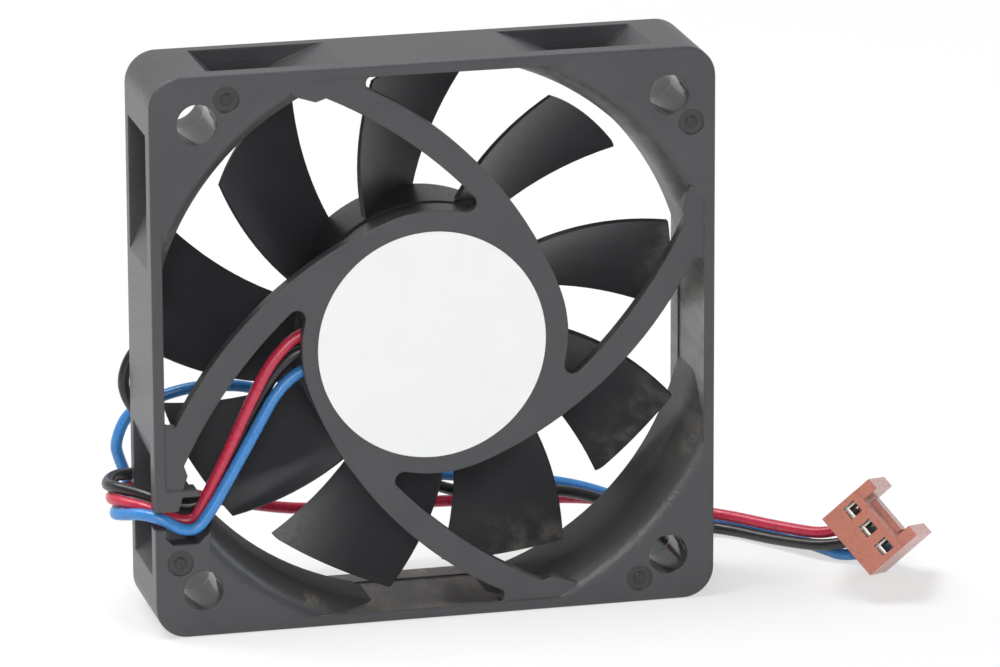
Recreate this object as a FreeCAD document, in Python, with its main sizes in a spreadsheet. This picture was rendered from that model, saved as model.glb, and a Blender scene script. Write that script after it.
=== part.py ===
# Axial cooling fan, 60 x 60 x 13 mm, as separate moulded, turned, stamped and drawn pieces.
# Frame: x right, y away from the label side, z up. The fan stands on the plane z = 0.
# Pieces on the fan axis are drawn in fan coordinates (x right, y up, z from the inlet face to the
# label face) and turned upright by one placement. All lengths are millimetres, angles degrees.
import math
import os
import re

import FreeCAD
import Part
import Sketcher

V = FreeCAD.Vector
DOC = FreeCAD.newDocument("cooling_fan")

# Driving sizes, one per line
SIZES = {
    # frame outside
    "fan_side": 60.0,
    "fan_depth": 13.0,
    "corner_radius": 3.3,
    "edge_break": 0.25,
    "hole_edge": 5.0,
    "hole_diameter": 4.2,
    "hole_relief_diameter": 5.5,
    "hole_relief_depth": 6.0,
    "front_flange": 2.1,
    "rear_flange": 1.7,
    "post_half_width": 4.5,
    "duct_wall": 1.9,
    # air duct
    "bore_radius": 29.5,
    "rail_width": 1.15,
    "rail_step": 0.15,
    "rail_step_depth": 2.9,
    "flare_growth": 2.8,
    "flare_depth": 5.0,
    "lip_growth": 1.0,
    "lip_depth": 2.5,
    # hub plate and struts
    "face_drop": 0.15,
    "hub_plate_radius": 14.2,
    "hub_plate_thickness": 2.9,
    "strut_count": 4,
    "strut_thickness": 1.4,
    "strut_root_radius": 0.6,
    "strut_outer_centre_x": -25.84,
    "strut_outer_centre_y": -9.72,
    "strut_inner_centre_x": -32.59,
    "strut_inner_centre_y": -18.25,
    "strut_inner_radius": 49.84,
    "strut_corner_radius": 0.95,
    "strut_root_outer_x": -7.2,
    "strut_root_inner_x": -11.4,
    "strut_tooth_x": -12.5,
    "strut_tooth_y": 26.5,
    "strut_root_end_x": -15.0,
    "strut_root_end_y": 27.3,
    "mark_x": 27.4,
    "mark_y": 21.9,
    "mark_radius": 1.35,
    "mark_dot_radius": 0.6,
    "mark_depth": 0.15,
    # lead slot in the lower left corner and lead channel under the hub plate
    "slot_depth": 5.0,
    "slot_floor_height": 10.1,
    "slot_gap_low": 11.8,
    "slot_gap_high": 13.75,
    "slot_hook_wall": 1.15,
    "slot_width": 6.0,
    "slot_lip": 1.3,
    "slot_ramp": 0.5,
    "slot_mouth": 1.5,
    "slot_corner": 0.7,
    "slot_bevel": 3.4,
    "fill_back": 0.65,
    "fill_top": 3.3,
    "fill_middle": 4.95,
    "fill_bottom": 4.35,
    "fill_rise": 5.9,
    "fill_step": 3.15,
    "fill_drop": 3.2,
    "channel_height": 1.65,
    "channel_low_y": -4.4,
    "channel_high_y": 3.0,
    "channel_end_gap": 0.4,
    # label
    "label_radius": 12.15,
    "label_thickness": 0.1,
    "label_shift_x": -0.4,
    "label_shift_y": -0.2,
    # bearing tube and bearings
    "tube_wall": 0.5,
    "tube_fit": 0.01,
    "tube_lead": 0.1,
    "tube_end_gap": 0.25,
    "bearing_radius": 4.0,
    "bearing_width": 3.0,
    "bearing_bore_radius": 1.5,
    "bearing_cover": 0.6,
    "shoulder_height": 0.55,
    "land_overlap": 0.1,
    "ball_radius": 0.6,
    "ball_play": 0.02,
    "ball_count": 7,
    "cage_half_width": 0.22,
    "cage_near": 0.25,
    "cage_far": 0.8,
    "spring_height": 0.6,
    "spring_thickness": 0.25,
    "spring_edge": 0.1,
    "spring_play": 0.05,
    "spring_inset": 0.25,
    # rotor
    "shaft_cover": 0.3,
    "shaft_label_gap": 0.05,
    "shaft_groove_depth": 0.3,
    "shaft_point": 0.2,
    "clip_thickness": 0.25,
    "clip_reach": 0.6,
    "clip_gap_angle": 70.0,
    "hub_radius": 14.2,
    "hub_wall": 1.0,
    "hub_start": 0.6,
    "hub_board_gap": 0.1,
    "hub_nose_radius": 1.2,
    "boss_wall": 0.6,
    "boss_height": 1.2,
    "yoke_thickness": 0.7,
    "yoke_edge_gap": 0.4,
    "yoke_hole_gap": 0.3,
    "magnet_thickness": 1.3,
    "magnet_edge_gap": 0.8,
    # blades
    "blade_count": 9,
    "tip_gap": 1.55,
    "trim_width": 6.0,
    "tip_overrun": 0.6,
    "root_sink": 0.7,
    "blade_nose_gap": 0.1,
    "blade_hub_gap": 0.2,
    "blade_root_lead_angle": 128.8,
    "blade_root_trail_angle": 157.5,
    "blade_tip_lead_angle": 116.7,
    "blade_tip_trail_angle": 141.5,
    "blade_root_thickness": 0.85,
    "blade_tip_thickness": 0.65,
    "blade_camber": 0.075,
    "blade_tip_round": 0.7,
    # stator
    "air_gap": 0.5,
    "coil_yoke_gap": 0.5,
    "core_ring_wall": 1.7,
    "arm_overlap": 0.8,
    "pole_width": 3.2,
    "shoe_thickness": 1.0,
    "shoe_half_angle": 34.0,
    "pole_count": 4,
    "insulator_thickness": 0.6,
    "insulator_ring_wall": 1.8,
    "insulator_flange_thickness": 0.3,
    "insulator_flange_half": 3.6,
    "post_radius": 0.55,
    "post_height": 1.1,
    "coil_ring_gap": 0.1,
    "coil_corner": 0.5,
    "coil_flange_gap": 0.15,
    "coil_depth": 0.6,
    "coil_side": 1.1,
    # circuit board
    "board_radius": 10.2,
    "board_plate_gap": 0.25,
    "board_thickness": 0.8,
    "board_tube_gap": 0.15,
    "sensor_long": 2.9,
    "sensor_wide": 2.2,
    "sensor_high": 0.9,
    "chip_long": 4.4,
    "chip_wide": 3.2,
    "chip_high": 1.0,
    "capacitor_radius": 1.2,
    "capacitor_high": 1.0,
    "resistor_long": 1.6,
    "resistor_wide": 0.8,
    "resistor_high": 0.5,
    "component_place": 7.9,
    "solder_side": 1.2,
    "solder_height": 1.5,
    # leads and connector
    "lead_diameter": 1.25,
    "lead_start_x": -9.2,
    "pin_pitch": 2.54,
    "pin_count": 3,
    "housing_wide": 7.8,
    "housing_low": 3.1,
    "housing_high": 1.5,
    "housing_long": 12.0,
    "housing_rail_wide": 1.3,
    "housing_rail_inset": 0.24,
    "housing_rail_sink": 0.3,
    "housing_ramp_start": 7.2,
    "housing_ramp_half": 2.15,
    "housing_rail_high": 1.9,
    "housing_ramp_long": 3.0,
    "housing_ramp_high": 0.6,
    "socket_side": 1.45,
    "socket_depth": 3.0,
    "cavity_side": 2.0,
    "terminal_play": 0.05,
    "terminal_bore": 1.1,
    "terminal_long": 5.2,
    "connector_x": 45.25,
    "connector_y": -12.24,
    "connector_z": 8.03,
    "connector_yaw": -40.911,
    "connector_pitch": 44.048,
    "connector_roll": 67.901,
}

# Sizes that follow from the ones above, so that mating pieces keep together
DERIVED = {
    "plate_start": "fan_depth - face_drop - hub_plate_thickness",
    "board_start": "plate_start - board_plate_gap - board_thickness",
    "hub_end": "board_start - hub_board_gap",
    "hub_floor": "hub_start + hub_wall",
    "yoke_end": "hub_end - yoke_edge_gap",
    "magnet_end": "hub_end - magnet_edge_gap",
    "boss_radius": "bearing_bore_radius + boss_wall",
    "yoke_hole_radius": "boss_radius + yoke_hole_gap",
    "yoke_radius": "hub_radius - hub_wall",
    "magnet_radius": "yoke_radius - yoke_thickness",
    "core_radius": "magnet_radius - magnet_thickness - air_gap",
    "core_start": "hub_floor + yoke_thickness + coil_yoke_gap + coil_depth + insulator_thickness",
    "core_height": "board_start - post_height - insulator_thickness - core_start",
    "tube_radius": "bearing_radius + tube_wall",
    "core_ring_radius": "tube_radius + core_ring_wall",
    "insulator_ring_radius": "tube_radius + insulator_ring_wall",
    "insulator_flange_x": "core_radius - shoe_thickness - insulator_flange_thickness",
    "coil_inner_x": "insulator_ring_radius + coil_ring_gap",
    "coil_length": "insulator_flange_x - coil_flange_gap - coil_inner_x",
    "bearing_rear_z": "hub_floor + boss_height",
    "bearing_front_z": "fan_depth - bearing_cover - bearing_width",
    "tube_start": "bearing_rear_z - tube_lead",
    "shoulder_radius": "bearing_radius - shoulder_height",
    "ball_pitch_radius": "(bearing_radius + bearing_bore_radius) / 2",
    "ring_outer_land": "ball_pitch_radius + ball_radius - land_overlap",
    "ring_inner_land": "ball_pitch_radius - ball_radius + land_overlap",
    "shaft_start": "hub_start + shaft_cover",
    "shaft_end": "fan_depth - face_drop - shaft_label_gap",
    "shaft_groove_radius": "bearing_bore_radius - shaft_groove_depth",
    "clip_radius": "bearing_bore_radius + clip_reach",
    "blade_tip_radius": "bore_radius - tip_gap",
    "blade_start": "hub_start + blade_nose_gap",
    "blade_end": "hub_end - blade_hub_gap",
    "rail_span": "fan_side - 4 * corner_radius",
    "slot_hook_x": "slot_hook_wall - fan_side / 2",
    "slot_floor_y": "slot_floor_height - fan_side / 2",
    "slot_gap_low_y": "slot_gap_low - fan_side / 2",
    "slot_gap_high_y": "slot_gap_high - fan_side / 2",
    "channel_inner_x": "lead_start_x + solder_side + channel_end_gap",
}

# Lead routes behind and beside the fan: corner points of each wire, x right, y back, z up
LEAD_ROUTES = {
    "red_lead": [
        (-13.4, -4.3, 32), (-16.94, -4.4, 29.03), (-19.45, -4.51, 24.32), (-21.81, -4.54, 19.26),
        (-24.33, -4.4, 14.18), (-25.62, -3.9, 11.33), (-30.1, -3.29, 13.37), (-32.75, 0.22, 13.37),
        (-32.92, 3.54, 12.71), (-31.24, 7.32, 12.35), (-28.68, 8.56, 12.32), (-21.79, 10.1, 10.01),
        (-11.61, 12.43, 7.03), (-4.32, 12.91, 6.76), (6.01, 13.33, 6.48), (14.24, 14.33, 5.69),
        (20.89, 15.08, 5.21), (27.6, 15.2, 3.9), (33, 15.9, 2.4), (37, 15, 1.95), (41.7, 8.5, 2.1),
        (45.9, 2.5, 2.65), (49.88, 1.77, 5.83),
    ],
    "black_lead": [
        (-13.3, -4.25, 30), (-16.1, -3.9, 28.15), (-18.6, -3.4, 23.6), (-21.2, -3.4, 18.2),
        (-24.3, -3, 12.9), (-28.42, -2.32, 13.63), (-30.21, -1.07, 14.26), (-32.73, 1.54, 14.5),
        (-33.14, 4.63, 13.85), (-31.67, 7.49, 13.96), (-28.64, 8.85, 13.48), (-27.19, 9.03, 15.71),
        (-27.89, 9, 18.91), (-29.85, 9, 21.64), (-30.32, 8.98, 24.1), (-29.02, 9.09, 27.06),
        (-25.54, 9.29, 29.44), (-17.98, 9.59, 30.61), (-10.43, 9.99, 27.9), (-6.79, 10.45, 21.37),
        (-3.04, 10.53, 13.24), (5.49, 11.18, 7.82), (13.68, 12, 7.41), (20.21, 12.83, 6.62),
        (27.5, 12.6, 3.2), (32.6, 14.3, 1.2), (36.8, 14.2, 0.66), (41.3, 7.9, 0.82), (45.8, 1.1, 1.75),
        (51.26, 0.58, 4.05),
    ],
    "blue_lead": [
        (-13.2, -4.3, 28), (-16.45, -4.54, 25.71), (-18.91, -4.87, 21.51), (-21.35, -5.05, 17.38),
        (-23.67, -5.4, 13.58), (-25.92, -5.54, 10.7), (-30.28, -5.54, 13.51), (-33.04, -1.22, 12.25),
        (-32.75, 1.66, 11.64), (-31.56, 5.66, 10.95), (-30.17, 9.18, 10.57), (-29.25, 11.24, 11.64),
        (-30.33, 11.36, 14.5), (-30.84, 10.97, 16.4), (-29.39, 10.81, 19.85), (-25.44, 10.59, 21.48),
        (-21.47, 10.44, 22.21), (-14.84, 10.77, 21.51), (-8.96, 11.34, 16.71), (-4.21, 12.38, 11.27),
        (6.48, 13.57, 9.13), (13.58, 14.98, 8.02), (21.36, 16.54, 6.13), (28.3, 17, 2.9),
        (33.2, 17.3, 0.9), (37.6, 16.4, 0.66), (42.4, 10.4, 0.66), (45.3, 4.4, 0.65), (46.9, 0.9, 0.64),
        (52.64, -0.62, 2.3),
    ],
}
# Height of each lead's soldered end in the fan (fan y), and the pin it ends at
LEAD_ENDS = {"red_lead": (2.0, -1), "black_lead": (0.0, 0), "blue_lead": (-2.0, 1)}
ARC_SHARE = 0.45


def write_sheet():
    """Put the driving sizes into a sheet and return it."""
    sheet = DOC.addObject("Spreadsheet::Sheet", "sizes")
    for row, (name, number) in enumerate(SIZES.items(), start=1):
        sheet.set(f"A{row}", name.replace("_", " "))
        sheet.set(f"B{row}", str(number))
        sheet.setAlias(f"B{row}", name)
    DOC.recompute()
    return sheet


SHEET = write_sheet()


def bound(text):
    """Expression text with every size name pointed at the sheet."""
    def point(match):
        word = match.group(0)
        if word in DERIVED:
            return f"({bound(DERIVED[word])})"
        return f"sizes.{word}" if word in SIZES else word
    return re.sub(r"[a-z_]+", point, text)


def value(text):
    """Number an expression of sizes has now."""
    result = SHEET.evalExpression(bound(text))
    return float(getattr(result, "Value", result))


def origin_part(body, role):
    """Plane or axis of the body's own origin."""
    return next(f for f in body.Origin.OriginFeatures if f.Role == role)


def new_body(label):
    """Body in fan coordinates, turned upright and set on the floor."""
    body = DOC.addObject("PartDesign::Body", label)
    body.Label = label
    if hasattr(body, "AllowCompound"):
        body.AllowCompound = True
    body.Placement = FreeCAD.Placement(V(0, 0, 0), FreeCAD.Rotation(V(1, 0, 0), 90))
    body.setExpression("Placement.Base.y", bound("fan_depth / 2"))
    body.setExpression("Placement.Base.z", bound("fan_side / 2"))
    return body


def new_sketch(body, name, level=None, role="XY_Plane", turn=0.0):
    """Sketch on one of the body's origin planes, lifted by an expression."""
    sketch = body.newObject("Sketcher::SketchObject", f"{body.Label}_{name}")
    sketch.AttachmentSupport = [(origin_part(body, role), "")]
    sketch.MapMode = "FlatFace"
    sketch.AttachmentOffset = FreeCAD.Placement(V(0, 0, 0), FreeCAD.Rotation(V(0, 0, 1), turn))
    if level:
        sketch.setExpression("AttachmentOffset.Base.z", bound(level))
    DOC.recompute([sketch])
    return sketch


def add_circle(sketch, radius, x=0.0, y=0.0):
    """Circle whose radius is bound to an expression of sizes."""
    index = sketch.addGeometry(Part.Circle(V(x, y, 0), V(0, 0, 1), value(radius)), False)
    if x == 0.0 and y == 0.0:
        sketch.addConstraint(Sketcher.Constraint("Coincident", index, 3, -1, 1))
    rule = sketch.addConstraint(Sketcher.Constraint("Radius", index, value(radius)))
    sketch.setExpression(f"Constraints[{rule}]", bound(radius))


def add_outline(sketch, edges):
    """Closed outline of straight edges (two points) and arcs (three points)."""
    for edge in edges:
        points = [V(p[0], p[1], 0) for p in edge]
        shape = Part.LineSegment(*points) if len(points) == 2 else Part.Arc(*points)
        sketch.addGeometry(shape, False)


def polygon(points):
    """Straight edges joining the points and closing."""
    return list(zip(points, points[1:] + points[:1]))


def rectangle(x_low, x_high, y_low, y_high):
    """Corner points of an upright rectangle."""
    return [(x_low, y_low), (x_high, y_low), (x_high, y_high), (x_low, y_high)]


def pad(body, sketch, length):
    """Pad along the sketch normal by an expression of sizes."""
    feature = body.newObject("PartDesign::Pad", f"{sketch.Label}_pad")
    feature.Profile = sketch
    feature.setExpression("Length", bound(length))
    DOC.recompute()
    return feature


def pocket(body, sketch, length=None):
    """Pocket against the sketch normal, or right through."""
    feature = body.newObject("PartDesign::Pocket", f"{sketch.Label}_pocket")
    feature.Profile = sketch
    before = body.Shape.Volume
    if length:
        feature.setExpression("Length", bound(length))
    else:
        feature.Type = "ThroughAll"
    DOC.recompute()
    if body.Shape.Volume >= before - 1e-6:
        raise RuntimeError(f"{feature.Label} removes nothing")
    return feature


def revolve(body, sketch, kind="PartDesign::Revolution"):
    """Full turn of a sketch about the fan axis."""
    feature = body.newObject(kind, f"{sketch.Label}_turn")
    feature.Profile = sketch
    feature.ReferenceAxis = (sketch, ["V_Axis"])
    feature.Angle = 360.0
    DOC.recompute()
    return feature


def repeat_round(body, features, count):
    """Even copies of features round the fan axis."""
    pattern = body.newObject("PartDesign::PolarPattern", f"{features[0].Label}_round")
    pattern.Originals = features
    pattern.Axis = (origin_part(body, "Z_Axis"), [""])
    pattern.Angle = 360.0
    pattern.setExpression("Occurrences", bound(count))
    body.Tip = pattern
    DOC.recompute()
    return pattern


def ring_body(label, outer, inner, level, height):
    """Plain ring of two circles."""
    body = new_body(label)
    sketch = new_sketch(body, "section", level)
    add_circle(sketch, outer)
    add_circle(sketch, inner)
    pad(body, sketch, height)
    return body


def turned_body(label, edges):
    """Solid of revolution about the fan axis from an outline in (radius, height)."""
    body = new_body(label)
    sketch = new_sketch(body, "profile", role="XZ_Plane")
    add_outline(sketch, edges)
    revolve(body, sketch)
    return body


def rounded_square(side, radius):
    """Square with rounded corners about the origin."""
    half = side / 2
    flat = half - radius
    mid = flat + radius * math.sqrt(0.5)
    edges = []
    for quarter in range(4):
        turn = quarter * math.pi / 2
        points = [(half, -flat), (half, flat), (mid, mid), (flat, half)]
        turned = [(x * math.cos(turn) - y * math.sin(turn), x * math.sin(turn) + y * math.cos(turn))
                  for x, y in points]
        edges.append((turned[0], turned[1]))
        edges.append((turned[1], turned[2], turned[3]))
    return edges


def recess_outline(side):
    """Hollows of the top side, between the corner posts and the round duct."""
    duct = value("bore_radius + duct_wall")
    post = value("post_half_width") * math.sqrt(2)
    outside = side / 2 + 1
    x_deep = (post - math.sqrt(2 * duct * duct - post * post)) / 2
    y_deep = post - x_deep
    left_start, left_deep = (post - outside, outside), (x_deep, y_deep)
    right_start, right_deep = (outside - post, outside), (-x_deep, y_deep)
    if duct <= side / 2:
        # the duct lies inside the square: one hollow runs from post to post
        return [(left_start, left_deep), (left_deep, (0, duct), right_deep), (right_deep, right_start),
                (right_start, left_start)]
    x_open = -math.sqrt(duct * duct - (side / 2) ** 2)
    middle = (math.atan2(y_deep, x_deep) + math.atan2(side / 2, x_open)) / 2
    edges = []
    for mirror in (1, -1):
        start = (mirror * left_start[0], outside)
        deep = (mirror * x_deep, y_deep)
        bulge = (mirror * duct * math.cos(middle), duct * math.sin(middle))
        rim = (mirror * x_open, side / 2)
        end = (mirror * x_open, outside)
        edges += [(start, deep), (deep, bulge, rim), (rim, end), (end, start)]
    return edges


def strut_outline():
    """Top strut: two long arcs, a rounded corner at the hub plate and a toothed root at the rail."""
    hub = value("hub_plate_radius")
    outer = V(value("strut_outer_centre_x"), value("strut_outer_centre_y"), 0)
    outer_radius = outer.Length + hub
    inner = V(value("strut_inner_centre_x"), value("strut_inner_centre_y"), 0)
    inner_radius = value("strut_inner_radius")
    corner = value("strut_corner_radius")

    def on_arc(centre, radius, x):
        return V(x, centre.y + math.sqrt(radius * radius - (x - centre.x) ** 2), 0)

    def arc_middle(centre, radius, first, last):
        spot = (first + last) * 0.5 - centre
        return centre + spot * (radius / spot.Length)

    root_outer = on_arc(outer, outer_radius, value("strut_root_outer_x"))
    hub_outer = outer * (-hub / outer.Length)
    root_inner = on_arc(inner, inner_radius, value("strut_root_inner_x"))
    # centre of the rounded corner: on circles about the fan axis and about the inner arc's centre
    near, far, apart = hub + corner, inner_radius - corner, inner.Length
    along = (near * near - far * far + apart * apart) / (2 * apart)
    across = math.sqrt(near * near - along * along)
    axis = inner * (1 / apart)
    centre = axis * along + V(axis.y, -axis.x, 0) * across
    if centre.y < 0:
        centre = axis * along - V(axis.y, -axis.x, 0) * across
    touch_inner = inner + (centre - inner) * (inner_radius / (centre - inner).Length)
    touch_hub = centre * (hub / centre.Length)
    away = (touch_inner - centre) + (touch_hub - centre)
    corner_middle = centre + away * (corner / away.Length)
    rail = value("fan_side / 2 - rail_width / 2")
    tooth = (value("strut_tooth_x"), value("strut_tooth_y"))
    root_end = (value("strut_root_end_x"), value("strut_root_end_y"))
    inside = [touch_hub * 0.7, hub_outer * 0.7]
    # fillet between the strut and the inner side of the rail
    fillet, side_in = value("strut_root_radius"), value("fan_side / 2 - rail_width")
    bend = fillet * math.sqrt(0.5)
    blend = [(root_outer.x + fillet, side_in), (root_outer.x + fillet - bend, side_in - fillet + bend),
             (root_outer.x, side_in - fillet)]
    return [
        ((root_outer.x + fillet, rail), blend[0]),
        (blend[0], blend[1], blend[2]),
        (blend[2], root_outer),
        (root_outer, arc_middle(outer, outer_radius, root_outer, hub_outer), hub_outer),
        (hub_outer, inside[1]),
        (inside[1], inside[0]),
        (inside[0], touch_hub),
        (touch_hub, corner_middle, touch_inner),
        (touch_inner, arc_middle(inner, inner_radius, touch_inner, root_inner), root_inner),
        (root_inner, tooth),
        (tooth, root_end),
        (root_end, (root_end[0], rail)),
        ((root_end[0], rail), (root_outer.x + fillet, rail)),
    ]


def slot_outline():
    """Open slot that leads the wires through the flange at the lower left."""
    floor = value("slot_floor_y")
    low = value("slot_gap_low_y")
    high = value("slot_gap_high_y")
    hook = value("slot_hook_x")
    outside = -value("fan_side / 2") - 1
    lip = hook + value("slot_lip")
    mouth = high + value("slot_mouth")
    end = hook + value("slot_width")
    corner, bevel = value("slot_corner"), value("slot_bevel")
    return polygon([
        (outside, high), (lip, high), (lip + value("slot_ramp"), mouth), (end, mouth),
        (end, floor + 3 * corner), (hook + bevel + corner, floor + corner), (hook + bevel, floor),
        (hook + corner, floor), (hook, floor + corner), (hook, low), (outside, low),
    ])


def build_frame():
    """One moulding: flanges, posts, flared duct, struts, hub plate, lead slot and channel."""
    body = new_body("frame")
    outline = new_sketch(body, "outline")
    add_outline(outline, rounded_square(value("fan_side"), value("corner_radius")))
    block = pad(body, outline, "fan_depth")
    level = value("fan_depth")
    flat = [(index, edge.BoundBox.ZMin) for index, edge in enumerate(block.Shape.Edges, start=1)
            if edge.BoundBox.ZLength < 1e-6]
    names = [f"Edge{index}" for index, height in flat if min(abs(height), abs(height - level)) < 1e-6]
    rim = body.newObject("PartDesign::Fillet", "frame_rim")
    rim.Base = (block, names)
    rim.setExpression("Radius", bound("edge_break"))
    DOC.recompute()

    # duct: straight bore, inlet lip and outlet flare in one turned cut, then the rails along the sides
    bore, deep = value("bore_radius"), value("fan_depth")
    lip, throat = value("bore_radius + lip_growth"), value("fan_depth - flare_depth")
    grow, rise = value("flare_growth"), value("flare_depth")
    # the outlet is a bell mouth: a quarter ellipse from the bore to the front face, drawn as two arcs
    bell = [(bore + grow * (1 - math.cos(math.radians(turn))), throat + rise * math.sin(math.radians(turn)))
            for turn in (0, 30, 55, 74)] + [(bore + grow, deep)]
    duct = new_sketch(body, "duct", role="XZ_Plane")
    add_outline(duct, [
        ((0, 0), (lip, 0)), ((lip, 0), (bore, value("lip_depth"))), ((bore, value("lip_depth")), bell[0]),
        (bell[0], bell[1], bell[2]), (bell[2], bell[3], bell[4]), (bell[4], (0, deep)), ((0, deep), (0, 0))])
    revolve(body, duct, "PartDesign::Groove")
    inside, outside, edge = value("fan_side / 2 - rail_width"), value("fan_side / 2"), value("edge_break")
    bend = edge * (1 - math.sqrt(0.5))
    ledge, ledge_deep = inside - value("rail_step"), value("rail_step_depth")
    rails = new_sketch(body, "rail", "0 - rail_span / 2", role="XZ_Plane")
    add_outline(rails, [
        ((ledge, 0), (outside - edge, 0)),
        ((outside - edge, 0), (outside - bend, bend), (outside, edge)),
        ((outside, edge), (outside, deep - edge)),
        ((outside, deep - edge), (outside - bend, deep - bend), (outside - edge, deep)),
        ((outside - edge, deep), (inside, deep)),
        ((inside, deep), (inside, ledge_deep)),
        ((inside, ledge_deep), (ledge, ledge_deep)),
        ((ledge, ledge_deep), (ledge, 0))])
    rail = pad(body, rails, "rail_span")
    repeat_round(body, [rail], "strut_count")

    recess = new_sketch(body, "recess", "fan_depth - front_flange")
    add_outline(recess, recess_outline(value("fan_side")))
    cut = pocket(body, recess, "fan_depth - front_flange - rear_flange")
    repeat_round(body, [cut], "strut_count")

    fill = new_sketch(body, "slot_fill", "fan_depth - front_flange")
    hook, floor = value("slot_hook_x"), value("slot_floor_y")
    back, top, drop = hook - value("fill_back"), floor + value("fill_rise"), floor - value("fill_drop")
    add_outline(fill, polygon([(back, top), (hook + value("fill_top"), top),
                               (hook + value("fill_middle"), floor + value("fill_step")),
                               (hook + value("fill_bottom"), drop), (back, drop)]))
    pad(body, fill, "front_flange")

    strut = new_sketch(body, "strut", "fan_depth - face_drop - strut_thickness")
    add_outline(strut, strut_outline())
    arm = pad(body, strut, "strut_thickness")
    repeat_round(body, [arm], "strut_count")
    plate = new_sketch(body, "plate", "plate_start")
    add_circle(plate, "hub_plate_radius")
    pad(body, plate, "hub_plate_thickness")

    slot = new_sketch(body, "slot", "fan_depth")
    add_outline(slot, slot_outline())
    pocket(body, slot, "slot_depth")
    channel = new_sketch(body, "channel", "plate_start + channel_height")
    add_outline(channel, polygon(rectangle(-value("hub_plate_radius") - 1, value("channel_inner_x"),
                                           value("channel_low_y"), value("channel_high_y"))))
    pocket(body, channel, "channel_height")
    seat = new_sketch(body, "tube_seat", "fan_depth")
    add_circle(seat, "tube_radius + tube_fit")
    pocket(body, seat)

    # screw holes, opened wider from the inlet face
    holes = new_sketch(body, "screw_holes", "fan_depth")
    relief = new_sketch(body, "hole_relief", "hole_relief_depth")
    place = value("fan_side / 2 - hole_edge")
    for x in (-place, place):
        for y in (-place, place):
            add_circle(holes, "hole_diameter / 2", x, y)
            add_circle(relief, "hole_relief_diameter / 2", x, y)
    pocket(body, holes)
    pocket(body, relief, "hole_relief_depth")
    mark = new_sketch(body, "mould_mark", "fan_depth")
    add_circle(mark, "mark_radius", value("mark_x"), value("mark_y"))
    add_circle(mark, "mark_dot_radius", value("mark_x"), value("mark_y"))
    ring = pocket(body, mark, "mark_depth")
    repeat_round(body, [ring], "strut_count")
    return body


def build_label():
    """Plain paper disc on the hub plate."""
    body = new_body("label")
    sketch = new_sketch(body, "disc", "fan_depth - face_drop")
    add_circle(sketch, "label_radius", value("label_shift_x"), value("label_shift_y"))
    pad(body, sketch, "label_thickness")
    return body


def build_bearing_tube():
    """Turned sleeve with a shoulder between the two bearing seats."""
    start = value("tube_start")
    end = value("fan_depth - face_drop - tube_end_gap")
    outer, seat, shoulder = value("tube_radius"), value("bearing_radius"), value("shoulder_radius")
    low = value("bearing_rear_z + bearing_width + spring_height")
    high = value("bearing_front_z")
    return turned_body("bearing_tube", polygon([
        (seat, start), (outer, start), (outer, end), (seat, end), (seat, high), (shoulder, high),
        (shoulder, low), (seat, low)]))


def build_bearing(name, base):
    """Outer ring, inner ring, cage and balls of one miniature bearing."""
    low = value(base)
    width = value("bearing_width")
    middle = low + width / 2
    pitch = value("ball_pitch_radius")
    groove = value("ball_radius + ball_play")
    outer_land, inner_land = value("ring_outer_land"), value("ring_inner_land")
    outer, inner = value("bearing_radius"), value("bearing_bore_radius")
    outer_half = math.sqrt(groove ** 2 - (outer_land - pitch) ** 2)
    inner_half = math.sqrt(groove ** 2 - (inner_land - pitch) ** 2)
    turned_body(f"{name}_outer_ring", [
        ((outer_land, low), (outer, low)), ((outer, low), (outer, low + width)),
        ((outer, low + width), (outer_land, low + width)),
        ((outer_land, low + width), (outer_land, middle + outer_half)),
        ((outer_land, middle + outer_half), (pitch + groove, middle), (outer_land, middle - outer_half)),
        ((outer_land, middle - outer_half), (outer_land, low))])
    turned_body(f"{name}_inner_ring", [
        ((inner, low), (inner_land, low)), ((inner_land, low), (inner_land, middle - inner_half)),
        ((inner_land, middle - inner_half), (pitch - groove, middle), (inner_land, middle + inner_half)),
        ((inner_land, middle + inner_half), (inner_land, low + width)),
        ((inner_land, low + width), (inner, low + width)), ((inner, low + width), (inner, low))])
    half = value("cage_half_width")
    cage = turned_body(f"{name}_cage", polygon(rectangle(
        pitch - half, pitch + half, middle - value("cage_far"), middle - value("cage_near"))))
    space = add_sphere(cage, "PartDesign::SubtractiveSphere", "ball_radius + ball_play", pitch, base)
    repeat_round(cage, [space], "ball_count")
    balls = new_body(f"{name}_balls")
    first = add_sphere(balls, "PartDesign::AdditiveSphere", "ball_radius", pitch, base)
    repeat_round(balls, [first], "ball_count")


def add_sphere(body, kind, radius, pitch, base):
    """Sphere on the ball circle of a bearing, added or cut."""
    sphere = body.newObject(kind, f"{body.Label}_sphere")
    sphere.AttachmentSupport = [(origin_part(body, "XY_Plane"), "")]
    sphere.MapMode = "FlatFace"
    sphere.AttachmentOffset = FreeCAD.Placement(V(pitch, 0, 0), FreeCAD.Rotation())
    sphere.setExpression("AttachmentOffset.Base.z", bound(f"{base} + bearing_width / 2"))
    sphere.setExpression("Radius", bound(radius))
    DOC.recompute()
    return sphere


def build_preload_spring():
    """Cone washer between the tube shoulder and the rear bearing's outer ring."""
    low = value("bearing_rear_z + bearing_width")
    high = low + value("spring_height")
    thick = value("spring_thickness")
    edge = value("spring_edge")
    inner, outer = value("ring_outer_land + spring_inset"), value("bearing_radius - spring_play")
    return turned_body("preload_spring", polygon([
        (outer - edge, low), (outer, low), (outer, low + thick), (inner + edge, high),
        (inner, high), (inner, high - thick)]))


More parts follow.
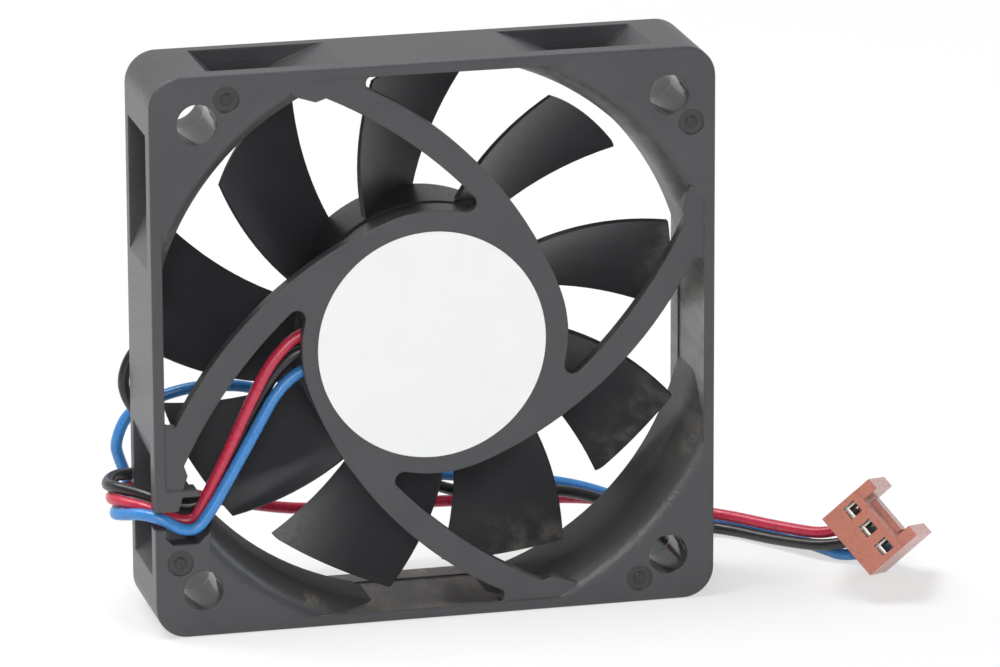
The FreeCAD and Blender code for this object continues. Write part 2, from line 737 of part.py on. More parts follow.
def build_shaft():
    """Ground pin with a groove for the retaining clip."""
    radius, groove = value("bearing_bore_radius"), value("shaft_groove_radius")
    start, end, point = value("shaft_start"), value("shaft_end"), value("shaft_point")
    low = value("bearing_front_z + bearing_width")
    high = low + value("clip_thickness")
    small = radius - point / 2
    return turned_body("shaft", polygon([
        (0, start), (radius, start), (radius, low), (groove, low), (groove, high), (small, high),
        (small, end - point / 2), (small - point / 2, end), (0, end)]))


def build_retaining_clip():
    """Open spring ring in the shaft groove, against the front bearing."""
    body = new_body("retaining_clip")
    sketch = new_sketch(body, "ring", "bearing_front_z + bearing_width")
    inner, outer = value("shaft_groove_radius"), value("clip_radius")
    half = math.radians(value("clip_gap_angle")) / 2

    def spot(radius, angle):
        return (radius * math.cos(angle), radius * math.sin(angle))

    last = 2 * math.pi - half
    add_outline(sketch, [
        (spot(inner, half), spot(outer, half)),
        (spot(outer, half), spot(outer, math.pi), spot(outer, last)),
        (spot(outer, last), spot(inner, last)),
        (spot(inner, last), spot(inner, math.pi), spot(inner, half))])
    pad(body, sketch, "clip_thickness")
    return body


def blade_section(distance, facing):
    """Cambered blade section on the plane at a distance from the fan axis, as (across, height) edges."""
    root, tip = value("hub_radius"), value("blade_tip_radius")

    def edge_spot(edge):
        start, end = value(f"blade_root_{edge}_angle"), value(f"blade_tip_{edge}_angle")
        radius = distance
        for _ in range(30):
            angle = math.radians(start + (end - start) * (radius - root) / (tip - root) - facing)
            radius = distance / math.cos(angle)
        return distance * math.tan(angle)

    lead = V(edge_spot("lead"), value("blade_start"), 0)
    trail = V(edge_spot("trail"), value("blade_end"), 0)
    share = (distance - root) / (tip - root)
    thick = value("blade_root_thickness") * (1 - share) + value("blade_tip_thickness") * share
    chord = trail - lead
    along = chord * (1 / chord.Length)
    normal = V(-along.y, along.x, 0)
    if normal.y > 0:
        normal = normal * -1
    middle = (lead + trail) * 0.5 + normal * (chord.Length * value("blade_camber"))
    edge = normal * (thick * 0.3)
    belly = normal * (thick * 0.5)
    corners = [lead + edge, trail + edge, trail - edge, lead - edge]
    return [
        (corners[0], middle + belly, corners[1]),
        (corners[1], corners[2]),
        (corners[2], middle - belly, corners[3]),
        (corners[3], corners[0]),
    ]


def build_impeller():
    """Hub cup and swept, cambered blades in one moulding."""
    body = new_body("impeller")
    outer, start, end = value("hub_radius"), value("hub_start"), value("hub_end")
    nose, wall = value("hub_nose_radius"), value("hub_wall")
    inner, boss, shaft = outer - wall, value("boss_radius"), value("bearing_bore_radius")
    boss_end, pin = value("hub_floor + boss_height"), value("shaft_start")
    bend = nose * (1 - math.sqrt(0.5))
    points = [(outer, start + nose), (outer, end), (inner, end), (inner, start + wall), (boss, start + wall),
              (boss, boss_end), (shaft, boss_end), (shaft, pin), (0, pin), (0, start), (outer - nose, start)]
    cup = new_sketch(body, "cup", role="XZ_Plane")
    add_outline(cup, list(zip(points, points[1:])))
    add_outline(cup, [((outer - nose, start), (outer - bend, start + bend), (outer, start + nose))])
    revolve(body, cup)

    facing = (value("blade_root_lead_angle + blade_root_trail_angle") / 2
              + value("blade_tip_lead_angle + blade_tip_trail_angle") / 2) / 2
    tip = value("blade_tip_radius")
    stations = [outer - value("root_sink"), outer + 0.3 * (tip - outer), outer + 0.65 * (tip - outer),
                tip + value("tip_overrun")]
    sections = []
    for number, distance in enumerate(stations, start=1):
        sketch = body.newObject("Sketcher::SketchObject", f"blade_section_{number}")
        sketch.AttachmentSupport = [(origin_part(body, "YZ_Plane"), "")]
        sketch.MapMode = "FlatFace"
        sketch.AttachmentOffset = FreeCAD.Placement(V(0, 0, distance), FreeCAD.Rotation())
        DOC.recompute([sketch])
        add_outline(sketch, blade_section(distance, facing))
        sections.append(sketch)
    blade = body.newObject("PartDesign::AdditiveLoft", "blade_loft")
    blade.Profile = sections[0]
    blade.Sections = sections[1:]
    DOC.recompute()
    repeat_round(body, [blade], "blade_count")

    # round the tips off; the ring's seam is turned into the gap between two blades
    between = value("blade_tip_trail_angle") - facing + 0.5 * (
        value("360 / blade_count - blade_tip_trail_angle + blade_tip_lead_angle"))
    trim = new_sketch(body, "tip_trim", "fan_depth", turn=between)
    add_circle(trim, "blade_tip_radius")
    add_circle(trim, "blade_tip_radius + trim_width")
    pocket(body, trim)
    # round the tip corner on the inlet side by a turned cut
    start, soft, wide = value("blade_start"), value("blade_tip_round"), value("trim_width")
    bend = soft * (1 - math.sqrt(0.5))
    corner = new_sketch(body, "tip_corner", role="XZ_Plane")
    corner.AttachmentOffset = FreeCAD.Placement(V(0, 0, 0), FreeCAD.Rotation(V(0, 1, 0), between))
    DOC.recompute([corner])
    add_outline(corner, [
        ((tip - soft, start - wide), (tip + wide, start - wide)),
        ((tip + wide, start - wide), (tip + wide, start + soft)),
        ((tip + wide, start + soft), (tip, start + soft)),
        ((tip, start + soft), (tip - bend, start + bend), (tip - soft, start)),
        ((tip - soft, start), (tip - soft, start - wide))])
    revolve(body, corner, "PartDesign::Groove")
    body.Placement = FreeCAD.Placement(body.Placement.Base, body.Placement.Rotation.multiply(
        FreeCAD.Rotation(V(0, 0, 1), facing)))
    return body


def build_rotor_metal():
    """Drawn steel cup and ring magnet inside the hub."""
    outer = value("yoke_radius")
    thick = value("yoke_thickness")
    floor = value("hub_floor")
    inner = outer - thick
    end, hole = value("yoke_end"), value("yoke_hole_radius")
    turned_body("rotor_yoke", polygon([
        (hole, floor), (outer, floor), (outer, end), (inner, end), (inner, floor + thick),
        (hole, floor + thick)]))
    ring_body("ring_magnet", "magnet_radius", "magnet_radius - magnet_thickness",
              "hub_floor + yoke_thickness", "magnet_end - hub_floor - yoke_thickness")


def sector(inner, outer, half):
    """Arc strip between two radii, even about the x axis."""
    def spot(radius, angle):
        return (radius * math.cos(angle), radius * math.sin(angle))
    return [
        (spot(inner, -half), spot(outer, -half)),
        (spot(outer, -half), spot(outer, 0), spot(outer, half)),
        (spot(outer, half), spot(inner, half)),
        (spot(inner, half), spot(inner, 0), spot(inner, -half))]


def build_stator_core():
    """Stack of laminations with four poles, pressed on the bearing tube."""
    body = new_body("stator_core")
    hub = new_sketch(body, "ring", "core_start")
    add_circle(hub, "core_ring_radius")
    add_circle(hub, "tube_radius")
    pad(body, hub, "core_height")
    half = value("pole_width / 2")
    shoe_start = value("core_radius - shoe_thickness")
    pole = new_sketch(body, "pole", "core_start")
    arm_start, arm_end = value("core_ring_radius - arm_overlap"), shoe_start + value("shoe_thickness / 2")
    add_outline(pole, polygon(rectangle(arm_start, arm_end, -half, half)))
    pole_pad = pad(body, pole, "core_height")
    shoe = new_sketch(body, "shoe", "core_start")
    add_outline(shoe, sector(shoe_start, value("core_radius"), math.radians(value("shoe_half_angle"))))
    shoe_pad = pad(body, shoe, "core_height")
    repeat_round(body, [pole_pad, shoe_pad], "pole_count")
    return body


def build_insulator(label, level, with_posts):
    """Moulded end cap of the stator, the upper one with posts for the board."""
    body = new_body(label)
    hub = new_sketch(body, "ring", level)
    add_circle(hub, "insulator_ring_radius")
    add_circle(hub, "tube_radius + tube_fit")
    pad(body, hub, "insulator_thickness")
    half = value("pole_width / 2")
    arm = new_sketch(body, "arm", level)
    reach = value("insulator_flange_x")
    wide = value("insulator_flange_half")
    thick = value("insulator_flange_thickness")
    start = value("insulator_ring_radius - arm_overlap")
    add_outline(arm, polygon([(start, -half), (reach, -half), (reach, -wide), (reach + thick, -wide),
                              (reach + thick, wide), (reach, wide), (reach, half), (start, half)]))
    features = [pad(body, arm, "insulator_thickness")]
    if with_posts:
        post = new_sketch(body, "post", f"{level} + insulator_thickness", turn=45.0)
        add_circle(post, "post_radius", value("tube_radius + insulator_ring_wall / 2"), 0.0)
        features.append(pad(body, post, "post_height"))
    repeat_round(body, features, "pole_count")
    return body


def build_windings():
    """Four wound coils, each a band round one pole and its end caps."""
    body = new_body("stator_windings")
    sketch = new_sketch(body, "coil", "coil_inner_x", role="YZ_Plane")
    half = value("pole_width / 2")
    low = value("core_start - insulator_thickness")
    high = value("core_start + core_height + insulator_thickness")
    side, deep = value("coil_side"), value("coil_depth")
    add_outline(sketch, polygon(rectangle(-half, half, low, high)))
    corner = value("coil_corner")
    x, bottom, top = half + side, low - deep, high + deep
    add_outline(sketch, polygon([
        (-x + corner, bottom), (x - corner, bottom), (x, bottom + corner), (x, top - corner),
        (x - corner, top), (-x + corner, top), (-x, top - corner), (-x, bottom + corner)]))
    coil = pad(body, sketch, "coil_length")
    repeat_round(body, [coil], "pole_count")
    return body


def build_board():
    """Round circuit board with its parts on the side facing the coils."""
    ring_body("circuit_board", "board_radius", "tube_radius + board_tube_gap", "board_start",
              "board_thickness")

    def block(label, turn, long, wide, high, shifts=(0.0,)):
        body = new_body(label)
        sketch = new_sketch(body, "outline", f"board_start - {high}", turn=turn)
        place = value("component_place")
        for shift in shifts:
            add_outline(sketch, polygon(rectangle(place - value(wide) / 2, place + value(wide) / 2,
                                                  shift - value(long) / 2, shift + value(long) / 2)))
        pad(body, sketch, high)

    block("hall_sensor", 45.0, "sensor_long", "sensor_wide", "sensor_high")
    block("driver_chip", 135.0, "chip_long", "chip_wide", "chip_high")
    block("board_resistors", 315.0, "resistor_long", "resistor_wide", "resistor_high", (-1.4, 1.4))
    body = new_body("board_capacitor")
    sketch = new_sketch(body, "outline", "board_start - capacitor_high", turn=225.0)
    add_circle(sketch, "capacitor_radius", value("component_place"), 0.0)
    pad(body, sketch, "capacitor_high")
    solder = new_body("solder_joints")
    joints = new_sketch(solder, "spots", "board_start + board_thickness")
    side = value("solder_side")
    start = value("lead_start_x")
    for place, _ in LEAD_ENDS.values():
        add_outline(joints, polygon(rectangle(start, start + side, place - side / 2, place + side / 2)))
    pad(solder, joints, "solder_height")


def place_connector(body):
    """Set a body drawn about the middle pin's mouth where the connector lies."""
    body.Placement = FreeCAD.Placement(V(0, 0, 0), FreeCAD.Rotation(
        value("connector_yaw"), value("connector_pitch"), value("connector_roll")))
    body.setExpression("Placement.Base.y", bound("connector_y"))
    body.setExpression("Placement.Base.x", bound("connector_x"))
    body.setExpression("Placement.Base.z", bound("connector_z"))


def pin_places():
    """Sideways places of the pins."""
    count = int(value("pin_count"))
    return [(index - (count - 1) / 2) * value("pin_pitch") for index in range(count)]


def build_connector():
    """Crimp housing with guide rails and three box terminals; mouth at z = 0, wires leave at the back."""
    body = new_body("connector_housing")
    half = value("housing_wide / 2")
    outline = new_sketch(body, "outline", "0 - housing_long")
    add_outline(outline, polygon(rectangle(-half, half, -value("housing_low"), value("housing_high"))))
    pad(body, outline, "housing_long")
    rails = new_sketch(body, "rails", "0 - housing_long")
    wide = value("housing_rail_wide")
    base, top = value("housing_high - housing_rail_sink"), value("housing_high + housing_rail_high")
    for low in (-half, half - wide):
        add_outline(rails, polygon(rectangle(low, low + wide, base, top)))
    pad(body, rails, "housing_long - housing_rail_inset")
    ramp = new_sketch(body, "ramp", "0 - housing_ramp_start")
    ramp_half, ramp_top = value("housing_ramp_half"), value("housing_high + housing_ramp_high")
    add_outline(ramp, polygon(rectangle(-ramp_half, ramp_half, base, ramp_top)))
    pad(body, ramp, "housing_ramp_long")
    cavities = new_sketch(body, "cavities", "0 - socket_depth")
    sockets = new_sketch(body, "sockets")
    for place in pin_places():
        side = value("cavity_side / 2")
        add_outline(cavities, polygon(rectangle(place - side, place + side, -side, side)))
        side = value("socket_side / 2")
        add_outline(sockets, polygon(rectangle(place - side, place + side, -side, side)))
    pocket(body, cavities, "housing_long - socket_depth")
    pocket(body, sockets, "socket_depth")
    place_connector(body)

    terminals = new_body("crimp_terminals")
    sketch = new_sketch(terminals, "boxes", "0 - socket_depth - terminal_long")
    for place in pin_places():
        for size in ("cavity_side / 2 - terminal_play", "terminal_bore / 2"):
            side = value(size)
            add_outline(sketch, polygon(rectangle(place - side, place + side, -side, side)))
    pad(terminals, sketch, "terminal_long")
    place_connector(terminals)
    return body


def rounded_route(points):
    """Wire of straight runs joined by tangent arcs, its length and the arc radii."""
    edges, radii = [], []
    start = points[0]
    for before, corner, after in zip(points, points[1:], points[2:]):
        arrive, leave = corner - before, after - corner
        turn = arrive.getAngle(leave)
        trim = ARC_SHARE * min(arrive.Length, leave.Length)
        radius = trim / math.tan(turn / 2)
        arrive.normalize()
        leave.normalize()
        first, last = corner - arrive * trim, corner + leave * trim
        inward = (leave - arrive).normalize()
        middle = corner + inward * (radius / math.cos(turn / 2) - radius)
        edges.append(Part.LineSegment(start, first).toShape())
        edges.append(Part.Arc(first, middle, last).toShape())
        radii.append(radius)
        start = last
    edges.append(Part.LineSegment(start, points[-1]).toShape())
    return Part.Wire(edges), radii


def build_lead(label):
    """One insulated wire from its solder joint to its crimp terminal."""
    height, pin = LEAD_ENDS[label]
    x = value("lead_start_x")
    first = V(x, LEAD_ROUTES[label][0][1], value("fan_side / 2") + height)
    turned = FreeCAD.Placement(V(value("connector_x"), value("connector_y"), value("connector_z")),
                               FreeCAD.Rotation(value("connector_yaw"), value("connector_pitch"),
                                                value("connector_roll")))
    place = V(pin * value("pin_pitch"), 0, -value("socket_depth + terminal_long"))
    points = [first] + [V(*p) for p in LEAD_ROUTES[label]] + [turned.multVec(place)]
    wire, radii = rounded_route(points)
    heading = points[1] - points[0]
    section = Part.Wire([Part.Circle(first, heading, value("lead_diameter / 2")).toShape()])
    shape = wire.makePipeShell([section], True, False)
    lead = DOC.addObject("Part::Feature", label)
    lead.Label = label
    lead.Shape = shape
    area = math.pi * value("lead_diameter") ** 2 / 4
    print(label, "length", round(wire.Length, 1), "smallest radius", round(min(radii), 2),
          "volume share", round(shape.Volume / (area * wire.Length), 4),
          "points", [tuple(round(c, 2) for c in p) for p in (points[0], points[-1])])
    return lead


def export_parts():
    """Check every object and write one file per piece."""
    DOC.recompute()
    for item in DOC.Objects:
        if {"Invalid", "Error"} & set(item.State):
            raise RuntimeError(f"{item.Label} is {item.State}")
    os.makedirs("parts", exist_ok=True)
    pieces = [o for o in DOC.Objects if o.TypeId == "PartDesign::Body" or o.TypeId == "Part::Feature"]
    for piece in pieces:
        shape = piece.Shape
        if shape.isNull() or not shape.isValid():
            raise RuntimeError(f"{piece.Label} has no valid shape")
        shape.exportStep(f"parts/{piece.Label}.step")
        box = shape.BoundBox
        print(f"{piece.Label:18s} solids {len(shape.Solids)} volume {shape.Volume:9.2f} "
              f"x {box.XMin:.2f}..{box.XMax:.2f} y {box.YMin:.2f}..{box.YMax:.2f} "
              f"z {box.ZMin:.2f}..{box.ZMax:.2f}")
    print(len(pieces), "pieces")


build_frame()
build_label()
build_bearing_tube()
build_bearing("front", "bearing_front_z")
build_bearing("rear", "bearing_rear_z")
build_preload_spring()
build_shaft()
build_retaining_clip()
build_impeller()
build_rotor_metal()
build_stator_core()
build_insulator("lower_insulator", "core_start - insulator_thickness", False)
build_insulator("upper_insulator", "core_start + core_height", True)
build_windings()
build_board()
build_connector()
for lead_name in LEAD_ROUTES:
    build_lead(lead_name)
export_parts()
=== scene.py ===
"""Studio picture of a square axial cooling fan, dressed over its packed construction model.

The construction model gives every rigid shape. This script gives the finishes, lays the three leads
as smooth cords along the routes of the construction model, and sets the floor, the lamps and the
camera. Lengths are metres in the construction model's frame unless a docstring says millimetres:
x points right, y away from the label side, z up.
"""
import logging
from dataclasses import dataclass, field
from enum import Enum

import bmesh
import bpy
from mathutils import Matrix, Vector


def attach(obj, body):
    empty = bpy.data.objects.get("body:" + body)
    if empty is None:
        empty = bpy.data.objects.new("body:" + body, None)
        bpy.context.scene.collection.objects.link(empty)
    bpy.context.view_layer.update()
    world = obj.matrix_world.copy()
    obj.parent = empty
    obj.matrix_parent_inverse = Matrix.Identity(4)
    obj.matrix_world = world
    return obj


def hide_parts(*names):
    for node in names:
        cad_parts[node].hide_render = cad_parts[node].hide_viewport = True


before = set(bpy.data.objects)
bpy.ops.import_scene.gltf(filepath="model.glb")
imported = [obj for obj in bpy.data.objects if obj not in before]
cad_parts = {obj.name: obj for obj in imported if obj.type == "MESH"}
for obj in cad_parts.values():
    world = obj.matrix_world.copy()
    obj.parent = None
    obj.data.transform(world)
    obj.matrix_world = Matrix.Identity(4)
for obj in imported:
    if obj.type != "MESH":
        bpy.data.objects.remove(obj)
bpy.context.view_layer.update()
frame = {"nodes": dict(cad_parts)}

LOG = logging.getLogger("cooling_fan")
MM = 0.001
FAN_AXIS = (0.0, 0.0, 0.030)
SQUARE_TO_AXIS = (1.0, 0.0, 1.0)
WHITE = (1.0, 1.0, 1.0, 1.0)

Point = tuple[float, float, float]
Span = tuple[float, float]
Nodes = dict[str, bpy.types.Object]
Socket = bpy.types.NodeSocket
Limit = tuple[Socket, float, float]

# Most of a noise pattern's values lie between these two.
NOISE_LOW, NOISE_HIGH = 0.3, 0.7

# The mix node has its own sockets for numbers and for colours.
COLOURS = {"data_type": "RGBA"}
SHARE, FIRST_NUMBER, SECOND_NUMBER, FIRST_COLOUR, SECOND_COLOUR = 0, 2, 3, 6, 7
MIXED_NUMBER, MIXED_COLOUR = 0, 2

SOFT_STEP = {"interpolation_type": "SMOOTHSTEP"}
MULTIPLY = {"operation": "MULTIPLY"}


class Handling(Enum):
    """How a cord bends and how it lies."""

    LIMP = "limp"
    LOOSE = "loose"


def linear(hex_code: str) -> tuple[float, float, float, float]:
    """Turn an sRGB hex value into linear red, green, blue and alpha.

    Args:
        hex_code: Colour such as "58585a".

    Returns:
        Linear components with an alpha of 1.
    """
    coded = [int(hex_code[place:place + 2], 16) / 255 for place in (0, 2, 4)]
    # The sRGB curve has a straight foot and a power above it.
    red, green, blue = (c / 12.92 if c <= 0.04045 else ((c + 0.055) / 1.055) ** 2.4 for c in coded)
    return red, green, blue, 1.0


def per_mm(size: float) -> float:
    """Texture scale whose features are about this many millimetres across."""
    return 1.0 / (size * MM)


def add_node(tree: bpy.types.NodeTree, kind: str, settings: dict[str, object] | None = None,
             inputs: dict[str | int, object] | None = None) -> bpy.types.Node:
    """Add a node with its settings, fixed inputs and links.

    Args:
        tree: Node tree that takes the node.
        kind: Blender's name of the node type.
        settings: Property values by name.
        inputs: By socket name or number, a fixed value or the output socket that feeds it.

    Returns:
        The new node.
    """
    node = tree.nodes.new(kind)
    for name, setting in (settings or {}).items():
        setattr(node, name, setting)
    for key, given in (inputs or {}).items():
        if isinstance(given, bpy.types.NodeSocket):
            tree.links.new(given, node.inputs[key])
        else:
            node.inputs[key].default_value = given
    return node


@dataclass
class Surface:
    """Nodes of one material, with the place and the normal that its patterns read."""

    tree: bpy.types.NodeTree
    place: Socket
    normal: Socket

    def from_axis(self) -> Socket:
        """Vector from the fan axis to the point, square to the axis.

        Returns:
            The vector's socket.
        """
        middle = add_node(self.tree, "ShaderNodeVectorMath", {"operation": "SUBTRACT"},
                          {0: self.place, 1: FAN_AXIS})
        flat = add_node(self.tree, "ShaderNodeVectorMath", MULTIPLY,
                        {0: middle.outputs["Vector"], 1: SQUARE_TO_AXIS})
        return flat.outputs["Vector"]

    def region(self, *limits: Limit) -> Socket:
        """Share of the surface where every value is past its limit, with soft edges.

        Args:
            limits: For each value its socket, where its step begins and where the step is full,
                which may be the lower of the two.

        Returns:
            The socket that is 1 in the region and 0 outside.
        """
        share = 1.0
        for given, begin, full in limits:
            step = add_node(self.tree, "ShaderNodeMapRange", SOFT_STEP,
                            {"Value": given, "From Min": begin, "From Max": full})
            share = add_node(self.tree, "ShaderNodeMath", MULTIPLY,
                             {0: share, 1: step.outputs["Result"]}).outputs[0]
        return share


@dataclass(frozen=True)
class Patches:
    """Soft-edged patches of noise. The size is millimetres."""

    size: float
    begin: float
    full: float
    detail: float = 5.0
    roughness: float = 0.65

    def share(self, on: Surface, vector: Socket) -> Socket:
        """Share of the surface that the patches cover.

        Args:
            on: The material's surface.
            vector: Coordinates that the noise reads.

        Returns:
            The socket that is 1 in a patch and 0 outside.
        """
        noise = add_node(on.tree, "ShaderNodeTexNoise", None,
                         {"Vector": vector, "Scale": per_mm(self.size), "Detail": self.detail,
                          "Roughness": self.roughness})
        return on.region((noise.outputs["Fac"], self.begin, self.full))


@dataclass(frozen=True)
class Coat:
    """Film, dust, stain, painted shade and painted sheen: a tone laid over a colour, with the most
    of it that shows.
    """

    tone: str
    most: float

    def over(self, on: Surface, below: Socket, *shares: Socket) -> Socket:
        """Lay the coat over a colour where all the shares meet.

        Args:
            on: The material's surface.
            below: Colour under the coat.
            shares: Shares of the surface that the coat needs.

        Returns:
            The socket of the coated colour.
        """
        cover = self.most
        for share in shares:
            cover = add_node(on.tree, "ShaderNodeMath", MULTIPLY, {0: cover, 1: share}).outputs[0]
        mix = add_node(on.tree, "ShaderNodeMix", COLOURS,
                       {SHARE: cover, FIRST_COLOUR: below, SECOND_COLOUR: linear(self.tone)})
        return mix.outputs[MIXED_COLOUR]


@dataclass(frozen=True)
class Finish:
    """Surface of one material. Sizes are millimetres.

    The colour drifts between two close tones. A fine grain shifts the roughness between its
    glossiest and its dullest share, and the bevel lets the light run over the edges as it does over
    moulded or tumbled ones.
    """

    name: str
    colour: str
    second: str
    roughness: float
    ior: float = 1.5
    metallic: float = 0.0
    mottle: float = 4.0
    mottle_detail: float = 8.0
    mottle_roughness: float = 0.68
    grain: float = 0.3
    grain_depth: float = 0.02
    grain_detail: float = 2.0
    grain_bump: float = 0.5
    glossiest: float = 0.9
    dullest: float = 1.12
    bevel: float = 0.0
    bevel_samples: int = 4

    def material(self) -> bpy.types.Material:
        """Build the material with its shader and its patterns.

        Returns:
            The finished material.
        """
        made = bpy.data.materials.new(self.name)
        made.use_nodes = True
        tree = made.node_tree
        shader = next(n for n in tree.nodes if n.type == "BSDF_PRINCIPLED")
        shader.inputs["Metallic"].default_value = self.metallic
        if not self.metallic:
            shader.inputs["IOR"].default_value = self.ior
        spot = add_node(tree, "ShaderNodeTexCoord")
        on = Surface(tree, spot.outputs["Object"], spot.outputs["Normal"])
        tree.links.new(self.tint(on), shader.inputs["Base Color"])
        self.add_grain(on, shader)
        return made

    def tint(self, on: Surface) -> Socket:
        """Colour of the bare material, drifting between its two tones.

        Args:
            on: The material's surface.

        Returns:
            The colour socket.
        """
        noise = add_node(on.tree, "ShaderNodeTexNoise", None,
                         {"Vector": on.place, "Scale": per_mm(self.mottle),
                          "Detail": self.mottle_detail, "Roughness": self.mottle_roughness})
        share = add_node(on.tree, "ShaderNodeMapRange", None,
                         {"Value": noise.outputs["Fac"], "From Min": NOISE_LOW,
                          "From Max": NOISE_HIGH})
        drift = add_node(on.tree, "ShaderNodeMix", COLOURS,
                         {SHARE: share.outputs["Result"], FIRST_COLOUR: linear(self.colour),
                          SECOND_COLOUR: linear(self.second)})
        return drift.outputs[MIXED_COLOUR]

    def add_grain(self, on: Surface, shader: bpy.types.Node) -> None:
        """Fine grain in the roughness and in the bump, and the rounded edges.

        Args:
            on: The material's surface.
            shader: Its surface shader.
        """
        noise = add_node(on.tree, "ShaderNodeTexNoise", None,
                         {"Vector": on.place, "Scale": per_mm(self.grain),
                          "Detail": self.grain_detail})
        rough = add_node(on.tree, "ShaderNodeMapRange", None,
                         {"Value": noise.outputs["Fac"], "From Min": NOISE_LOW,
                          "From Max": NOISE_HIGH, "To Min": self.roughness * self.glossiest,
                          "To Max": min(1.0, self.roughness * self.dullest)})
        on.tree.links.new(rough.outputs["Result"], shader.inputs["Roughness"])
        bump = add_node(on.tree, "ShaderNodeBump", None,
                        {"Strength": self.grain_bump, "Distance": self.grain_depth * MM,
                         "Height": noise.outputs["Fac"]})
        if self.bevel:
            edge = add_node(on.tree, "ShaderNodeBevel", {"samples": self.bevel_samples},
                            {"Radius": self.bevel * MM})
            on.tree.links.new(edge.outputs["Normal"], bump.inputs["Normal"])
        on.tree.links.new(bump.outputs["Normal"], shader.inputs["Normal"])


@dataclass(frozen=True)
class DuctMoulding(Finish):
    """Moulded frame with a brown film, painted shade, house dust and painted reflection on the
    walls that the air stream brushes.

    The film dulls the duct's walls and darkens them, partly as a brown film and partly as painted
    shade inside the duct, least towards the side that settled_at points to. There pale dust lies in
    streaks along the stream, partly dust and partly a painted reflection of the white floor. It
    lies faintly on the flat rails beside the duct too, partly dust and partly a painted sheen, and
    in smears where the flare runs out into a rail, at smear_at and its quarter turns about the
    axis. The pins that pushed the frame out of its mould left darker discs, darkest in the core, at
    mark_at and its quarter turns.
    Polished pins formed the screw holes, whose walls are glossy.
    """

    # Tone on the duct's walls: partly a brown film, partly painted shade inside the duct.
    film_and_shade: Coat = Coat("302c29", 0.7)
    film_and_shade_least: float = 0.25
    film_roughness: float = 0.7
    # Pale dust on the walls towards settled_at, partly dust and partly a painted reflection of the
    # white floor.
    dust: Coat = Coat("a39f97", 0.30)
    streaks: Patches = Patches(2.6, 0.30, 0.75)
    streak_squeeze: Point = (1.0, 0.3, 1.0)
    # In the duct, settled_at also points to where the painted reflection lies and the painted shade
    # is least.
    settled_at: Point = (0.87, 0.0, 0.5)
    settled_from: float = 8.0
    settled_to: float = 28.0
    duct_reach: float = 33.0
    duct_blur: float = 0.2
    wall_facing: Span = (-0.55, -0.95)
    # Pale coat on the rails' inner sides, partly dust and partly a painted sheen.
    rail_dust_and_sheen: Coat = Coat("8c867b", 0.45)
    rail_inside: float = 28.85
    rail_begin: Span = (-0.4, -0.2)
    rail_end: Span = (0.2, 0.1)
    rail_facing: Span = (0.975, 0.99)
    smear: Coat = Coat("b5ab95", 0.5)
    smear_patches: Patches = Patches(0.9, 0.35, 0.80)
    smear_at: Point = (-13.4, -5.9, -28.9)
    smear_reach: float = 3.4
    smear_core: float = 0.5
    hole_offset: float = 25.0
    hole_reach: float = 2.9
    hole_blur: float = 0.1
    hole_lean: Span = (0.5, 0.3)
    hole_roughness: float = 0.12
    hole_bump: float = 0.06
    mark: Coat = Coat("1a1a1c", 0.5)
    mark_at: Point = (27.4, -6.5, 21.9)
    mark_radii: Span = (1.35, 0.6)
    mark_blur: float = 0.08

    def walls(self, on: Surface) -> Socket:
        """Share of the surface that faces the fan axis, inside the screw holes' circle.

        Args:
            on: The material's surface.

        Returns:
            The socket that is 1 on the duct's walls.
        """
        across = on.from_axis()
        outward = add_node(on.tree, "ShaderNodeVectorMath", {"operation": "NORMALIZE"}, {0: across})
        facing = add_node(on.tree, "ShaderNodeVectorMath", {"operation": "DOT_PRODUCT"},
                          {0: outward.outputs["Vector"], 1: on.normal})
        radius = add_node(on.tree, "ShaderNodeVectorMath", {"operation": "LENGTH"}, {0: across})
        return on.region((facing.outputs["Value"], *self.wall_facing),
                         (radius.outputs["Value"], (self.duct_reach + self.duct_blur) * MM,
                          (self.duct_reach - self.duct_blur) * MM))

    def dust_and_reflection_side(self, on: Surface) -> Socket:
        """Share of the surface towards the side with dust and a painted reflection, where the
        painted shade is least.

        Args:
            on: The material's surface.

        Returns:
            The socket that grows to 1 on that side.
        """
        along = add_node(on.tree, "ShaderNodeVectorMath", {"operation": "DOT_PRODUCT"},
                         {0: on.from_axis(), 1: self.settled_at})
        return on.region((along.outputs["Value"], self.settled_from * MM, self.settled_to * MM))

    def film_and_shade_share(self, on: Surface) -> Socket:
        """Share of the surface that the film dulls and the painted shade darkens.

        Args:
            on: The material's surface.

        Returns:
            The socket that is 1 under the film and the painted shade.
        """
        away = add_node(on.tree, "ShaderNodeMapRange", None,
                        {"Value": self.dust_and_reflection_side(on), "From Min": 1.0, "From Max": 0.0,
                         "To Min": self.film_and_shade_least})
        return add_node(on.tree, "ShaderNodeMath", MULTIPLY,
                        {0: self.walls(on), 1: away.outputs["Result"]}).outputs[0]

    def rails(self, on: Surface) -> Socket:
        """Share of the surface that lies on the inner sides of the four flat rails.

        Args:
            on: The material's surface.

        Returns:
            The socket that is 1 on those sides.
        """
        largest = []
        for vector in (on.from_axis(), on.normal):
            size = add_node(on.tree, "ShaderNodeVectorMath", {"operation": "ABSOLUTE"}, {0: vector})
            parts = add_node(on.tree, "ShaderNodeSeparateXYZ", None, {0: size.outputs["Vector"]})
            larger = add_node(on.tree, "ShaderNodeMath", {"operation": "MAXIMUM"},
                              {0: parts.outputs["X"], 1: parts.outputs["Z"]})
            largest.append(larger.outputs[0])
        reach, lean = largest
        begin, end = ([(self.rail_inside + shift) * MM for shift in shifts]
                      for shifts in (self.rail_begin, self.rail_end))
        return on.region((reach, *begin), (reach, *end), (lean, *self.rail_facing))

